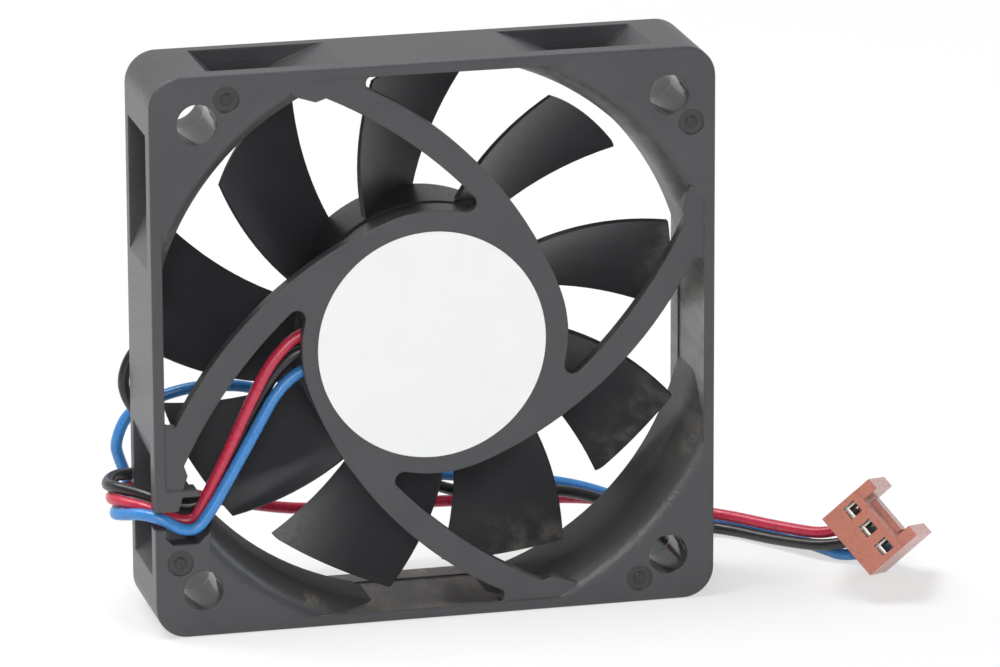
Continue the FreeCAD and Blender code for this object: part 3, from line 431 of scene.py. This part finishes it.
    def holes(self, on: Surface) -> Socket:
        """Share of the surface that lies on the walls of the four screw holes.

        Args:
            on: The material's surface.

        Returns:
            The socket that is 1 on those walls.
        """
        quarter = add_node(on.tree, "ShaderNodeVectorMath", {"operation": "ABSOLUTE"},
                           {0: on.from_axis()})
        middle = (self.hole_offset * MM, 0.0, self.hole_offset * MM)
        gap = add_node(on.tree, "ShaderNodeVectorMath", {"operation": "DISTANCE"},
                       {0: quarter.outputs["Vector"], 1: middle})
        lean = add_node(on.tree, "ShaderNodeVectorMath", {"operation": "ABSOLUTE"}, {0: on.normal})
        parts = add_node(on.tree, "ShaderNodeSeparateXYZ", None, {0: lean.outputs["Vector"]})
        return on.region((gap.outputs["Value"], (self.hole_reach + self.hole_blur) * MM,
                          self.hole_reach * MM),
                         (parts.outputs["Y"], *self.hole_lean))

    def around(self, on: Surface, middle: Point, far: float, near: float) -> Socket:
        """Share of the surface round a point and round its quarter turns about the fan axis.

        Args:
            on: The material's surface.
            middle: The point, from the fan axis, in millimetres.
            far: Distance in millimetres at which the share begins.
            near: Distance at which it is full.

        Returns:
            The socket that is 1 round the four points.
        """
        x, y, z = (part * MM for part in middle)
        total = 0.0
        for place in ((x, y, z), (-z, y, x), (-x, y, -z), (z, y, -x)):
            gap = add_node(on.tree, "ShaderNodeVectorMath", {"operation": "DISTANCE"},
                           {0: on.place, 1: Vector(place) + Vector(FAN_AXIS)})
            part = on.region((gap.outputs["Value"], far * MM, near * MM))
            total = add_node(on.tree, "ShaderNodeMath", {"operation": "ADD"},
                             {0: total, 1: part}).outputs[0]
        return total

    def tint(self, on: Surface) -> Socket:
        """Bare plastic with the marks, the film with painted shade, and the dust with painted
        reflection and sheen over it.

        Args:
            on: The material's surface.

        Returns:
            The colour socket.
        """
        walls = self.walls(on)
        stream = add_node(on.tree, "ShaderNodeVectorMath", MULTIPLY,
                          {0: on.place, 1: self.streak_squeeze}).outputs["Vector"]
        streaks = self.streaks.share(on, stream)
        tone = super().tint(on)
        for radius in self.mark_radii:
            discs = self.around(on, self.mark_at, radius + self.mark_blur, radius - self.mark_blur)
            tone = self.mark.over(on, tone, discs)
        # Brown film and painted shade on the duct's walls, least towards settled_at.
        tone = self.film_and_shade.over(on, tone, self.film_and_shade_share(on))
        # Pale dust with a painted reflection of the floor, towards settled_at.
        tone = self.dust.over(on, tone, walls, self.dust_and_reflection_side(on), streaks)
        # Pale dust and painted sheen on the rails' inner sides.
        tone = self.rail_dust_and_sheen.over(on, tone, self.rails(on), walls, streaks)
        ends = self.around(on, self.smear_at, self.smear_reach, self.smear_core)
        return self.smear.over(on, tone, ends, walls, self.smear_patches.share(on, stream))

    def add_grain(self, on: Surface, shader: bpy.types.Node) -> None:
        """Grain as on the bare plastic, duller where the film lies and glossy in the screw holes.

        Args:
            on: The material's surface.
            shader: Its surface shader.
        """
        super().add_grain(on, shader)
        bare = shader.inputs["Roughness"].links[0].from_socket
        clear = add_node(on.tree, "ShaderNodeMath", {"operation": "SUBTRACT"},
                         {0: 1.0, 1: self.rails(on)})
        film_and_shade = add_node(on.tree, "ShaderNodeMath", MULTIPLY,
                        {0: self.film_and_shade_share(on), 1: clear.outputs[0]})
        dull = add_node(on.tree, "ShaderNodeMix", None,
                        {SHARE: film_and_shade.outputs[0], FIRST_NUMBER: bare,
                         SECOND_NUMBER: self.film_roughness})
        holes = self.holes(on)
        smooth = add_node(on.tree, "ShaderNodeMix", None,
                          {SHARE: holes, FIRST_NUMBER: dull.outputs[MIXED_NUMBER],
                           SECOND_NUMBER: self.hole_roughness})
        on.tree.links.new(smooth.outputs[MIXED_NUMBER], shader.inputs["Roughness"])
        bump = shader.inputs["Normal"].links[0].from_node
        calm = add_node(on.tree, "ShaderNodeMix", None,
                        {SHARE: holes, FIRST_NUMBER: self.grain_bump,
                         SECOND_NUMBER: self.hole_bump})
        on.tree.links.new(calm.outputs[MIXED_NUMBER], bump.inputs["Strength"])


@dataclass(frozen=True)
class BladeMoulding(Finish):
    """Moulded blades with dust patches near the tips of some, and pale specks.

    The dust grows between two radii in millimetres from the fan axis, on the side that settled_at
    points to.
    """

    dust: Coat = Coat("9a9386", 0.5)
    dust_from: float = 22.5
    dust_to: float = 28.0
    dust_patches: Patches = Patches(3.2, 0.40, 0.80)
    settled_at: Point = (0.87, 0.0, -0.5)
    settled_from: float = 8.0
    settled_to: float = 18.0
    speck: Coat = Coat("9a9386", 0.35)
    speck_patches: Patches = Patches(0.4, 0.68, 0.74)

    def tint(self, on: Surface) -> Socket:
        """Bare plastic with dust patches and specks over it.

        Args:
            on: The material's surface.

        Returns:
            The colour socket.
        """
        across = on.from_axis()
        radius = add_node(on.tree, "ShaderNodeVectorMath", {"operation": "LENGTH"}, {0: across})
        along = add_node(on.tree, "ShaderNodeVectorMath", {"operation": "DOT_PRODUCT"},
                         {0: across, 1: self.settled_at})
        tips = on.region((radius.outputs["Value"], self.dust_from * MM, self.dust_to * MM),
                         (along.outputs["Value"], self.settled_from * MM, self.settled_to * MM))
        dusted = self.dust.over(on, super().tint(on), tips, self.dust_patches.share(on, on.place))
        return self.speck.over(on, dusted, self.speck_patches.share(on, on.place))


@dataclass(frozen=True)
class Insulation(Finish):
    """Extruded wire insulation with faint handling smudges."""

    smudge: Coat = Coat("3c3438", 0.22)
    smudge_patches: Patches = Patches(1.6, 0.56, 0.72)

    def tint(self, on: Surface) -> Socket:
        """Bare insulation with the smudges over it."""
        return self.smudge.over(on, super().tint(on), self.smudge_patches.share(on, on.place))


# Glass fibres near the mould wall break the gloss: an even, matte dark grey with a fine sparkle,
# soft lights along the edges, and pale dust where the air stream brushes it. Inside the duct the
# brown film is partly painted shade, and the pale dust is partly a painted reflection of the floor
# on the upper right walls and a painted sheen on the rails. The fibres are too fine to show, so the
# grain is drawn 0.3 mm wide.
FRAME_PLASTIC = DuctMoulding("glass-filled PBT, moulded dark grey", "3d3d40", "464649", 0.37, 1.55,
                             mottle=9.0, grain=0.3, grain_depth=0.09, bevel=0.3)
# A polished mould leaves the blades smoother than the frame: near black with a long satin sheen,
# greyer where dust lies at the tips.
BLADE_PLASTIC = BladeMoulding("PBT, moulded near black", "2c2c30", "343438", 0.4, 1.55,
                              mottle=5.0, grain=0.3, grain_depth=0.012)
# Clay coating makes the paper an even bright white with hardly any gloss.
LABEL_PAPER = Finish("coated paper, plain white", "f3f3f2", "f0f0ef", 0.55, 1.45,
                     grain=0.25, grain_depth=0.005)
# Unfilled nylon takes a fine mould texture: warm terracotta with a waxy light on its edges.
CONNECTOR_NYLON = Finish("nylon, moulded terracotta", "b26a57", "b8705c", 0.28, 1.53,
                         mottle=2.5, grain=0.4, grain_depth=0.003, bevel=0.12)
# Extruded soft vinyl is smooth along the wire: strong colour with one soft line of light.
RED_VINYL = Insulation("soft vinyl, extruded red", "c02c49", "c8354f", 0.28, 1.53,
                       grain=0.8, grain_depth=0.004)
BLACK_VINYL = Insulation("soft vinyl, extruded black", "242223", "2a2829", 0.3, 1.53,
                         grain=0.8, grain_depth=0.004, smudge=Coat("4a4646", 0.22))
BLUE_VINYL = Insulation("soft vinyl, extruded blue", "377fc4", "3f88cb", 0.28, 1.53,
                        grain=0.8, grain_depth=0.004)
# Stamped and tinned strip: a pale, slightly brushed gleam inside the sockets.
TIN = Finish("tinned bronze, stamped", "c9c6be", "b9b6ae", 0.3, metallic=1.0,
             mottle=1.0, grain=0.15)
# Fine grinding leaves a bright, cool mirror with a faint haze.
BEARING_STEEL = Finish("bearing steel, ground", "bcbec0", "b0b2b4", 0.2, metallic=1.0,
                       mottle=1.5, grain=0.1, grain_depth=0.004)
# Drawing and stamping leave a duller grey with a dragged grain.
SHEET_STEEL = Finish("steel sheet, drawn and stamped", "8d8f92", "7f8184", 0.38, metallic=1.0,
                     mottle=2.0, grain=0.2)
# Turning leaves fine rings that soften the yellow gleam.
BRASS = Finish("brass, turned", "c9a45c", "bb964f", 0.3, metallic=1.0, mottle=2.0, grain=0.12)
# Rubber-bound powder is dark, dry and dull.
FERRITE = Finish("bonded ferrite strip, rolled", "2a2727", "322f2e", 0.65, 1.5,
                 grain=0.2, grain_depth=0.03)
# Unpigmented nylon is milky and slightly yellow.
NATURAL_NYLON = Finish("natural nylon, moulded", "ddd8c8", "d5cfbd", 0.48, 1.53, grain=0.3)
# Enamel over drawn copper gives a deep orange-brown gleam from strand to strand.
COPPER = Finish("enamelled copper wire, wound", "b0602f", "9c5127", 0.3, metallic=1.0,
                mottle=0.8, grain=0.2, grain_depth=0.03)
# Solder mask over woven glass: green with a faint weave.
LAMINATE = Finish("glass-epoxy laminate, coated green", "1f5a36", "256440", 0.4, 1.55,
                  mottle=0.8, grain=0.5)
# Transfer-moulded epoxy is black and finely pitted.
EPOXY = Finish("epoxy package, moulded black", "1c1c1d", "242425", 0.5, 1.55, mottle=1.0, grain=0.1)
# Dipping leaves a rounded, glossy tan coat.
DIPPED = Finish("capacitor coat, dipped tan", "a8763a", "b07e42", 0.32, 1.5, mottle=1.5, grain=0.5)
# Reflowed solder sets with a bright, slightly frosted skin.
SOLDER = Finish("tin solder, reflowed", "b5b4ae", "a5a49e", 0.25, metallic=1.0,
                mottle=0.6, grain=0.1)


@dataclass
class MaterialStore:
    """Materials made so far, one per finish."""

    made: dict[str, bpy.types.Material] = field(default_factory=dict)

    def material(self, finish: Finish) -> bpy.types.Material:
        """Material of a finish, built on first use.

        Args:
            finish: The finish that is wanted.

        Returns:
            Its material.
        """
        if finish.name not in self.made:
            self.made[finish.name] = finish.material()
        return self.made[finish.name]


@dataclass
class SubAssembly:
    """Pieces of the construction model that belong together, with the finish of each."""

    store: MaterialStore
    nodes: Nodes

    def finishes(self) -> dict[str, Finish]:
        """Finish of each piece by its node's name."""
        return {}

    def dress(self) -> None:
        """Give every piece its finish in place of the material that it came with."""
        for name, finish in self.finishes().items():
            slots = self.nodes[name].data.materials
            slots.clear()
            slots.append(self.store.material(finish))
            LOG.info("%s: %s", name, finish.name)


@dataclass
class Housing(SubAssembly):
    """Frame with its duct, struts and hub plate, and the plain label."""

    moulding: Finish = FRAME_PLASTIC
    paper: Finish = LABEL_PAPER

    def finishes(self) -> dict[str, Finish]:
        """Finish of each piece by its node's name."""
        return {"frame": self.moulding, "label": self.paper}


@dataclass
class Rotor(SubAssembly):
    """Impeller with the steel cup, magnet and shaft that turn with it."""

    moulding: Finish = BLADE_PLASTIC

    def finishes(self) -> dict[str, Finish]:
        """Finish of each piece by its node's name."""
        return {"impeller": self.moulding, "rotor_yoke": SHEET_STEEL, "ring_magnet": FERRITE,
                "shaft": BEARING_STEEL, "retaining_clip": SHEET_STEEL}


@dataclass
class Bearings(SubAssembly):
    """Two miniature ball bearings in their tube, with the preload spring."""

    places: tuple[str, str] = ("front", "rear")

    def finishes(self) -> dict[str, Finish]:
        """Finish of each piece by its node's name.

        Returns:
            The finishes of the tube, the spring and both bearings.
        """
        given = {"bearing_tube": BRASS, "preload_spring": SHEET_STEEL}
        for place in self.places:
            given[f"{place}_cage"] = SHEET_STEEL
            for part in ("outer_ring", "inner_ring", "balls"):
                given[f"{place}_{part}"] = BEARING_STEEL
        return given


@dataclass
class Stator(SubAssembly):
    """Laminated core, its two insulators and the windings."""

    def finishes(self) -> dict[str, Finish]:
        """Finish of each piece by its node's name."""
        return {"stator_core": SHEET_STEEL, "upper_insulator": NATURAL_NYLON,
                "lower_insulator": NATURAL_NYLON, "stator_windings": COPPER}


@dataclass
class Board(SubAssembly):
    """Circuit board and what is soldered to it."""

    def finishes(self) -> dict[str, Finish]:
        """Finish of each piece by its node's name."""
        return {"circuit_board": LAMINATE, "hall_sensor": EPOXY, "driver_chip": EPOXY,
                "board_capacitor": DIPPED, "board_resistors": EPOXY, "solder_joints": SOLDER}


@dataclass
class Plug(SubAssembly):
    """Crimp housing and its three terminals on the far ends of the leads."""

    def finishes(self) -> dict[str, Finish]:
        """Finish of each piece by its node's name."""
        return {"connector_housing": CONNECTOR_NYLON, "crimp_terminals": TIN}

    def pieces(self) -> list[bpy.types.Object]:
        """Objects that hang on the leads."""
        return [self.nodes[name] for name in self.finishes()]


@dataclass
class Lead:
    """One insulated wire, laid as a smooth cord along its route. Lengths are millimetres."""

    name: str
    slot: str
    finish: Finish
    length: float
    route: list[Point]
    diameter: float = 1.25
    body: str = "fixed"
    order: int = 3
    round_steps: int = 6
    along_steps: int = 10

    def curve(self) -> bpy.types.Curve:
        """Round cord along the route.

        Returns:
            The curve data.
        """
        line = bpy.data.curves.new(f"{self.name}_cord", "CURVE")
        line.dimensions = "3D"
        line.bevel_depth = self.diameter * MM / 2
        line.bevel_resolution = self.round_steps
        line.use_fill_caps = True
        spline = line.splines.new("NURBS")
        spline.points.add(len(self.route) - 1)
        for control, (x, y, z) in zip(spline.points, self.route):
            control.co = (x * MM, y * MM, z * MM, 1.0)
        spline.order_u = self.order
        spline.use_endpoint_u = True
        spline.resolution_u = self.along_steps
        return line

    def build(self, store: MaterialStore, ends: list[bpy.types.Object]) -> bpy.types.Object:
        """Make the cord in place of its construction tube.

        Args:
            store: Source of the insulation's material.
            ends: Connector pieces on the cord's far end; not used.

        Returns:
            The curve object.
        """
        line = self.curve()
        line.materials.append(store.material(self.finish))
        cord = bpy.data.objects.new(line.name, line)
        bpy.context.scene.collection.objects.link(cord)
        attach(cord, self.body)
        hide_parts(self.name)
        LOG.info("%s: cord of %.0f mm", self.name, self.length)
        return cord


LEADS = [
    Lead("red_lead", "red_insulation", RED_VINYL, 139.9, [
        (-9.2, -4.3, 32), (-13.4, -4.3, 32), (-16.94, -4.4, 29.03), (-19.45, -4.51, 24.32),
        (-21.81, -4.54, 19.26), (-24.33, -4.4, 14.18), (-25.62, -3.9, 11.33), (-30.1, -3.29, 13.37),
        (-32.75, 0.22, 13.37), (-32.92, 3.54, 12.71), (-31.24, 7.32, 12.35), (-28.68, 8.56, 12.32),
        (-21.79, 10.1, 10.01), (-11.61, 12.43, 7.03), (-4.32, 12.91, 6.76), (6.01, 13.33, 6.48),
        (14.24, 14.33, 5.69), (20.89, 15.08, 5.21), (27.6, 15.2, 3.9), (33, 15.9, 2.4),
        (37, 15, 1.95), (41.7, 8.5, 2.1), (45.9, 2.5, 2.65), (49.88, 1.77, 5.83),
        (47.22, -3.9, 7.58)]),
    Lead("black_lead", "black_insulation", BLACK_VINYL, 162.7, [
        (-9.2, -4.25, 30), (-13.3, -4.25, 30), (-16.1, -3.9, 28.15), (-18.6, -3.4, 23.6),
        (-21.2, -3.4, 18.2), (-24.3, -3, 12.9), (-28.42, -2.32, 13.63), (-30.21, -1.07, 14.26),
        (-32.73, 1.54, 14.5), (-33.14, 4.63, 13.85), (-31.67, 7.49, 13.96), (-28.64, 8.85, 13.48),
        (-27.19, 9.03, 15.71), (-27.89, 9, 18.91), (-29.85, 9, 21.64), (-30.32, 8.98, 24.1),
        (-29.02, 9.09, 27.06), (-25.54, 9.29, 29.44), (-17.98, 9.59, 30.61), (-10.43, 9.99, 27.9),
        (-6.79, 10.45, 21.37), (-3.04, 10.53, 13.24), (5.49, 11.18, 7.82), (13.68, 12, 7.41),
        (20.21, 12.83, 6.62), (27.5, 12.6, 3.2), (32.6, 14.3, 1.2), (36.8, 14.2, 0.66),
        (41.3, 7.9, 0.82), (45.8, 1.1, 1.75), (51.26, 0.58, 4.05), (48.6, -5.09, 5.81)]),
    Lead("blue_lead", "blue_insulation", BLUE_VINYL, 158.7, [
        (-9.2, -4.3, 28), (-13.2, -4.3, 28), (-16.45, -4.54, 25.71), (-18.91, -4.87, 21.51),
        (-21.35, -5.05, 17.38), (-23.67, -5.4, 13.58), (-25.92, -5.54, 10.7),
        (-30.28, -5.54, 13.51), (-33.04, -1.22, 12.25), (-32.75, 1.66, 11.64),
        (-31.56, 5.66, 10.95), (-30.17, 9.18, 10.57), (-29.25, 11.24, 11.64),
        (-30.33, 11.36, 14.5), (-30.84, 10.97, 16.4), (-29.39, 10.81, 19.85),
        (-25.44, 10.59, 21.48), (-21.47, 10.44, 22.21), (-14.84, 10.77, 21.51),
        (-8.96, 11.34, 16.71), (-4.21, 12.38, 11.27), (6.48, 13.57, 9.13), (13.58, 14.98, 8.02),
        (21.36, 16.54, 6.13), (28.3, 17, 2.9), (33.2, 17.3, 0.9), (37.6, 16.4, 0.66),
        (42.4, 10.4, 0.66), (45.3, 4.4, 0.65), (46.9, 0.9, 0.64), (52.64, -0.62, 2.3),
        (49.98, -6.29, 4.05)]),
]


@dataclass(frozen=True)
class SoftBox:
    """Square soft lamp that looks at the fan's middle. The power is watts, the colour linear."""

    name: str
    place: Point
    size: float
    power: float
    colour: Point = (1.0, 1.0, 1.0)

    def hang(self) -> None:
        """Make the lamp and turn it to the fan."""
        light = bpy.data.lights.new(self.name, "AREA")
        light.shape = "SQUARE"
        light.size = self.size
        light.energy = self.power
        light.color = self.colour
        holder = bpy.data.objects.new(self.name, light)
        holder.location = self.place
        aim = Vector(FAN_AXIS) - Vector(self.place)
        holder.rotation_euler = aim.to_track_quat("-Z", "Y").to_euler()
        bpy.context.scene.collection.objects.link(holder)


@dataclass
class Studio:
    """Pale floor, soft lamps and the camera of the picture. Lens and sensor are millimetres."""

    floor_half: float = 3.0
    floor_drop: float = 0.00005
    floor_colour: str = "f4f4f4"
    floor_roughness: float = 0.9
    floor_lift: float = 0.6
    sky_strength: float = 0.15
    backdrop_strength: float = 0.6
    backdrop_edge: Span = (0.0, 0.4)
    eye: Point = (-0.17256, -0.73999, 0.24628)
    right: Point = (0.9711, -0.2386, -0.0037)
    up: Point = (0.0690, 0.2660, 0.9615)
    back: Point = (-0.2284, -0.9340, 0.2747)
    lens: float = 271.67
    sensor: float = 36.0
    nearest: float = 0.01
    lamps: tuple[SoftBox, ...] = (
        SoftBox("top_softbox", (-0.25, 0.00, 1.08), 0.55, 9.5),
        SoftBox("back_softbox", (-0.60, 0.45, 0.90), 0.4, 3.5),
        SoftBox("front_softbox", (-0.25, -1.05, 0.42), 0.45, 4.8),
        SoftBox("side_softbox", (1.00, -0.20, 0.45), 0.4, 3.0, (0.80, 0.90, 1.0)),
    )

    def paper(self) -> bpy.types.Material:
        """White backdrop that the camera sees lifted towards white, so that shadows stay light.

        Returns:
            The backdrop's material.
        """
        made = bpy.data.materials.new("backdrop paper, white")
        made.use_nodes = True
        tree = made.node_tree
        shader = next(n for n in tree.nodes if n.type == "BSDF_PRINCIPLED")
        shader.inputs["Base Color"].default_value = linear(self.floor_colour)
        shader.inputs["Roughness"].default_value = self.floor_roughness
        output = next(n for n in tree.nodes if n.type == "OUTPUT_MATERIAL")
        path = add_node(tree, "ShaderNodeLightPath")
        ray = add_node(tree, "ShaderNodeMath", {"operation": "MAXIMUM"},
                       {0: path.outputs["Is Camera Ray"], 1: path.outputs["Is Glossy Ray"]})
        lift = add_node(tree, "ShaderNodeMath", MULTIPLY, {0: ray.outputs[0], 1: self.floor_lift})
        white = add_node(tree, "ShaderNodeEmission", None, {"Color": WHITE, "Strength": 1.0})
        mixed = add_node(tree, "ShaderNodeMixShader", None,
                         {0: lift.outputs[0], 1: shader.outputs[0], 2: white.outputs[0]})
        tree.links.new(mixed.outputs[0], output.inputs["Surface"])
        return made

    def floor(self) -> None:
        """Wide plane under the fan."""
        mesh = bpy.data.meshes.new("studio_floor")
        shape = bmesh.new()
        bmesh.ops.create_grid(shape, x_segments=1, y_segments=1, size=self.floor_half)
        bmesh.ops.translate(shape, verts=shape.verts, vec=(0.0, 0.0, -self.floor_drop))
        shape.to_mesh(mesh)
        shape.free()
        plane = bpy.data.objects.new("studio_floor", mesh)
        bpy.context.scene.collection.objects.link(plane)
        mesh.materials.append(self.paper())

    def sky(self) -> None:
        """Dim white surroundings, white to the camera, with the pale backdrop in reflections."""
        world = bpy.data.worlds.new("studio_surround")
        bpy.context.scene.world = world
        world.use_nodes = True
        tree = world.node_tree
        ground = next(n for n in tree.nodes if n.type == "BACKGROUND")
        ground.inputs["Color"].default_value = WHITE
        path = add_node(tree, "ShaderNodeLightPath")
        spot = add_node(tree, "ShaderNodeTexCoord")
        way = add_node(tree, "ShaderNodeSeparateXYZ", None, {0: spot.outputs["Generated"]})
        begin, full = self.backdrop_edge
        behind = add_node(tree, "ShaderNodeMapRange", SOFT_STEP,
                          {"Value": way.outputs["Y"], "From Min": begin, "From Max": full,
                           "To Min": 0.0, "To Max": self.backdrop_strength - self.sky_strength})
        seen = add_node(tree, "ShaderNodeMath", {"operation": "MULTIPLY_ADD"},
                        {0: path.outputs["Is Camera Ray"], 1: 1.0 - self.sky_strength,
                         2: self.sky_strength})
        level = add_node(tree, "ShaderNodeMath", {"operation": "MULTIPLY_ADD"},
                         {0: path.outputs["Is Glossy Ray"], 1: behind.outputs["Result"],
                          2: seen.outputs[0]})
        tree.links.new(level.outputs[0], ground.inputs["Strength"])

    def camera(self) -> None:
        """Long lens at the photograph's place and angle."""
        view = bpy.data.cameras.new("studio_camera")
        view.lens = self.lens
        view.sensor_width = self.sensor
        view.sensor_fit = "HORIZONTAL"
        view.clip_start = self.nearest
        eye = bpy.data.objects.new("studio_camera", view)
        turn = Matrix((self.right, self.up, self.back)).transposed().to_4x4()
        eye.matrix_world = Matrix.Translation(self.eye) @ turn
        bpy.context.scene.collection.objects.link(eye)
        bpy.context.scene.camera = eye

    def build(self) -> None:
        """Set up the floor, the light and the camera."""
        bpy.context.scene.view_settings.view_transform = "Standard"
        self.floor()
        self.sky()
        for lamp in self.lamps:
            lamp.hang()
        self.camera()


def main() -> None:
    """Dress the sub-assemblies, lay the leads and set the studio."""
    logging.basicConfig(level=logging.INFO, format="%(name)s %(message)s")
    store = MaterialStore()
    nodes = frame["nodes"]
    plug = Plug(store, nodes)
    for unit in (Housing(store, nodes), Rotor(store, nodes), Bearings(store, nodes),
                 Stator(store, nodes), Board(store, nodes), plug):
        unit.dress()
    for lead in LEADS:
        lead.build(store, plug.pieces())
    Studio().build()


if __name__ == "__main__":
    main()
